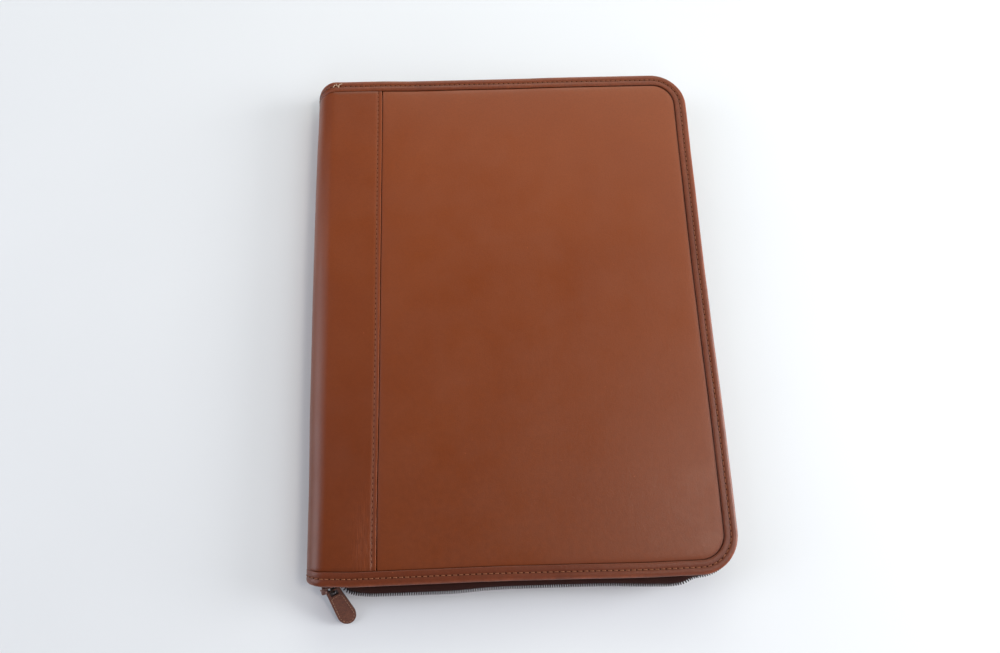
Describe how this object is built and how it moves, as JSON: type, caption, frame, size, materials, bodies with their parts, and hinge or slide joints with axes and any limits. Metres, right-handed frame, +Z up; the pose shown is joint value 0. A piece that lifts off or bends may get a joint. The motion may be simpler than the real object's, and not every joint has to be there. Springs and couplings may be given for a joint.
{
  "type": "leather document case",
  "caption": "Flat zip-around leather document case with a rolled spine, stitched edge binding, stiff covers and a leather zip pull; a hollow inside holds papers.",
  "frame": {"origin": "middle of the back cover's flat outer face, which the case rests on", "axes": "+X from the spine to the fore-edge, +Y to the top of the case, +Z up through the front cover"},
  "size_m": [0.2637, 0.3673, 0.0272],
  "materials": {
    "cover_leather": "smooth tan leather, lightly glossy, with a fine grain",
    "zip_tape": "very dark brown woven tape",
    "zip_teeth": "very dark brown moulded coil",
    "slider_metal": "brown enamel over brass, worn bright at the bail",
    "pull_leather": "stitched tab with dark burnished edges"
  },
  "bodies": {
    "root": {"front_panel": "cover_leather", "back_panel": "cover_leather", "spine_wrap": "cover_leather", "edge_binding": "cover_leather", "zip_tape_front": "zip_tape", "zip_tape_back": "zip_tape", "zip_chain": "zip_teeth", "zip_stop": "slider_metal", "zip_slider": "slider_metal", "zip_pull": "pull_leather"}
  },
  "joints": []
}
